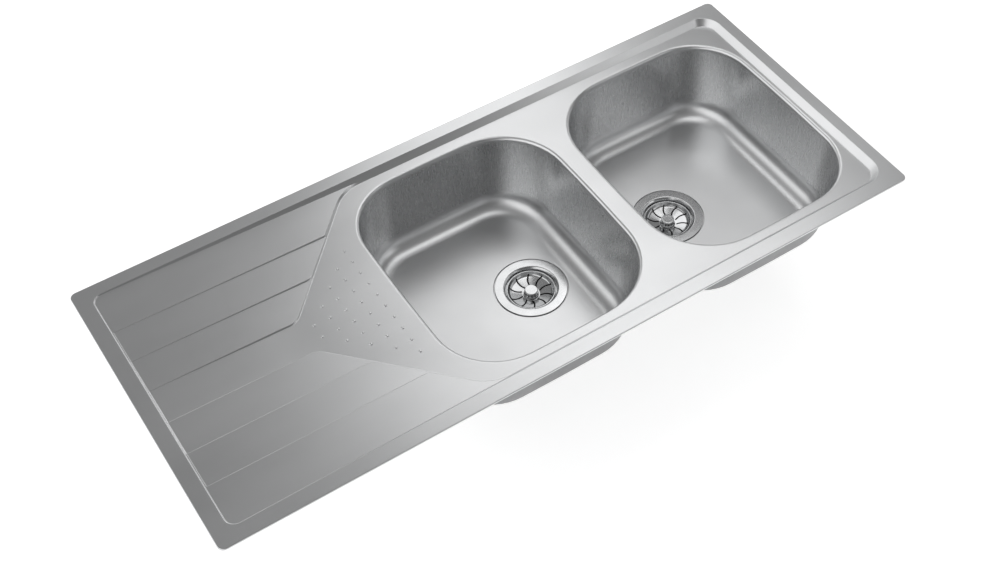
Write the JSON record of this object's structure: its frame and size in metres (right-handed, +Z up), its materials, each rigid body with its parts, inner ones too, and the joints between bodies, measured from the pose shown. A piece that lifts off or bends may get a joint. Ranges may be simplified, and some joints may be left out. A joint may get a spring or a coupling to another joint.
{
  "type": "double bowl kitchen sink",
  "caption": "Inset stainless steel kitchen sink with a terraced drainer, double bowls, lift-out basket wastes and swing-arm worktop clips.",
  "frame": {"origin": "on the underside of the rim seal, half way along the front rim, in the plane of the worktop it rests on", "axes": "+X along the length from the drainer end to the bowl end, +Y from front to back, +Z up"},
  "size_m": [1.16, 0.5, 0.29],
  "materials": {
    "satin_steel": "satin stainless steel",
    "polished_steel": "polished stainless steel",
    "zinc_steel": "zinc plated steel",
    "black_rubber": "matt moulded rubber",
    "grey_foam": "closed-cell foam strip",
    "grey_pad": "matt damping sheet",
    "white_plastic": "moulded polypropylene"
  },
  "bodies": {
    "sink": {"deck_panel": "satin_steel", "left_bowl": "satin_steel", "right_bowl": "satin_steel", "left_sound_pad": "grey_pad", "right_sound_pad": "grey_pad", "rim_seal": "grey_foam", "left_strainer_body": "polished_steel", "left_flange_gasket": "black_rubber", "left_under_gasket": "black_rubber", "left_waste_housing": "white_plastic", "left_clamp_screw": "zinc_steel", "left_outlet_washer": "black_rubber", "left_outlet_nut": "white_plastic", "left_tailpiece": "white_plastic", "right_strainer_body": "polished_steel", "right_flange_gasket": "black_rubber", "right_under_gasket": "black_rubber", "right_waste_housing": "white_plastic", "right_clamp_screw": "zinc_steel", "right_outlet_washer": "black_rubber", "right_outlet_nut": "white_plastic", "right_tailpiece": "white_plastic", "front_clip_1_bracket": "zinc_steel", "front_clip_2_bracket": "zinc_steel", "front_clip_3_bracket": "zinc_steel", "front_clip_4_bracket": "zinc_steel", "back_clip_1_bracket": "zinc_steel", "back_clip_2_bracket": "zinc_steel", "back_clip_3_bracket": "zinc_steel", "back_clip_4_bracket": "zinc_steel"},
    "left_basket": {"left_basket": "polished_steel"},
    "left_plug": {"left_plug_knob": "polished_steel", "left_plug_stem": "zinc_steel", "left_plug_seal": "black_rubber"},
    "right_basket": {"right_basket": "polished_steel"},
    "right_plug": {"right_plug_knob": "polished_steel", "right_plug_stem": "zinc_steel", "right_plug_seal": "black_rubber"},
    "front_clip_1_screw": {"front_clip_1_screw": "zinc_steel"},
    "front_clip_1_arm": {"front_clip_1_arm": "zinc_steel"},
    "front_clip_2_screw": {"front_clip_2_screw": "zinc_steel"},
    "front_clip_2_arm": {"front_clip_2_arm": "zinc_steel"},
    "front_clip_3_screw": {"front_clip_3_screw": "zinc_steel"},
    "front_clip_3_arm": {"front_clip_3_arm": "zinc_steel"},
    "front_clip_4_screw": {"front_clip_4_screw": "zinc_steel"},
    "front_clip_4_arm": {"front_clip_4_arm": "zinc_steel"},
    "back_clip_1_screw": {"back_clip_1_screw": "zinc_steel"},
    "back_clip_1_arm": {"back_clip_1_arm": "zinc_steel"},
    "back_clip_2_screw": {"back_clip_2_screw": "zinc_steel"},
    "back_clip_2_arm": {"back_clip_2_arm": "zinc_steel"},
    "back_clip_3_screw": {"back_clip_3_screw": "zinc_steel"},
    "back_clip_3_arm": {"back_clip_3_arm": "zinc_steel"},
    "back_clip_4_screw": {"back_clip_4_screw": "zinc_steel"},
    "back_clip_4_arm": {"back_clip_4_arm": "zinc_steel"}
  },
  "joints": [
    {"name": "left_basket_lift", "type": "slide", "parent": "sink", "child": "left_basket", "axis": [0, 0, 1], "range_m": [0, 0.22]},
    {"name": "left_plug_lift", "type": "slide", "parent": "left_basket", "child": "left_plug", "axis": [0, 0, 1], "range_m": [0, 0.008]},
    {"name": "right_basket_lift", "type": "slide", "parent": "sink", "child": "right_basket", "axis": [0, 0, 1], "range_m": [0, 0.22]},
    {"name": "right_plug_lift", "type": "slide", "parent": "right_basket", "child": "right_plug", "axis": [0, 0, 1], "range_m": [0, 0.008]},
    {"name": "front_clip_1_screw_rise", "type": "slide", "parent": "sink", "child": "front_clip_1_screw", "axis": [0, 0, 1], "range_m": [0, 0.013]},
    {"name": "front_clip_1_arm_swing", "type": "hinge", "parent": "front_clip_1_screw", "child": "front_clip_1_arm", "pos_m": [-0.44, 0.0335, 0], "axis": [0, 0, 1], "range_deg": [-90, 0]},
    {"name": "front_clip_2_screw_rise", "type": "slide", "parent": "sink", "child": "front_clip_2_screw", "axis": [0, 0, 1], "range_m": [0, 0.013]},
    {"name": "front_clip_2_arm_swing", "type": "hinge", "parent": "front_clip_2_screw", "child": "front_clip_2_arm", "pos_m": [-0.128, 0.0335, 0], "axis": [0, 0, 1], "range_deg": [-90, 0]},
    {"name": "front_clip_3_screw_rise", "type": "slide", "parent": "sink", "child": "front_clip_3_screw", "axis": [0, 0, 1], "range_m": [0, 0.013]},
    {"name": "front_clip_3_arm_swing", "type": "hinge", "parent": "front_clip_3_screw", "child": "front_clip_3_arm", "pos_m": [0.183, 0.0335, 0], "axis": [0, 0, 1], "range_deg": [-90, 0]},
    {"name": "front_clip_4_screw_rise", "type": "slide", "parent": "sink", "child": "front_clip_4_screw", "axis": [0, 0, 1], "range_m": [0, 0.013]},
    {"name": "front_clip_4_arm_swing", "type": "hinge", "parent": "front_clip_4_screw", "child": "front_clip_4_arm", "pos_m": [0.495, 0.0335, 0], "axis": [0, 0, 1], "range_deg": [-90, 0]},
    {"name": "back_clip_1_screw_rise", "type": "slide", "parent": "sink", "child": "back_clip_1_screw", "axis": [0, 0, 1], "range_m": [0, 0.013]},
    {"name": "back_clip_1_arm_swing", "type": "hinge", "parent": "back_clip_1_screw", "child": "back_clip_1_arm", "pos_m": [-0.44, 0.4545, 0], "axis": [0, 0, 1], "range_deg": [-90, 0]},
    {"name": "back_clip_2_screw_rise", "type": "slide", "parent": "sink", "child": "back_clip_2_screw", "axis": [0, 0, 1], "range_m": [0, 0.013]},
    {"name": "back_clip_2_arm_swing", "type": "hinge", "parent": "back_clip_2_screw", "child": "back_clip_2_arm", "pos_m": [-0.128, 0.4545, 0], "axis": [0, 0, 1], "range_deg": [-90, 0]},
    {"name": "back_clip_3_screw_rise", "type": "slide", "parent": "sink", "child": "back_clip_3_screw", "axis": [0, 0, 1], "range_m": [0, 0.013]},
    {"name": "back_clip_3_arm_swing", "type": "hinge", "parent": "back_clip_3_screw", "child": "back_clip_3_arm", "pos_m": [0.183, 0.4545, 0], "axis": [0, 0, 1], "range_deg": [-90, 0]},
    {"name": "back_clip_4_screw_rise", "type": "slide", "parent": "sink", "child": "back_clip_4_screw", "axis": [0, 0, 1], "range_m": [0, 0.013]},
    {"name": "back_clip_4_arm_swing", "type": "hinge", "parent": "back_clip_4_screw", "child": "back_clip_4_arm", "pos_m": [0.495, 0.4545, 0], "axis": [0, 0, 1], "range_deg": [-90, 0]}
  ]
}
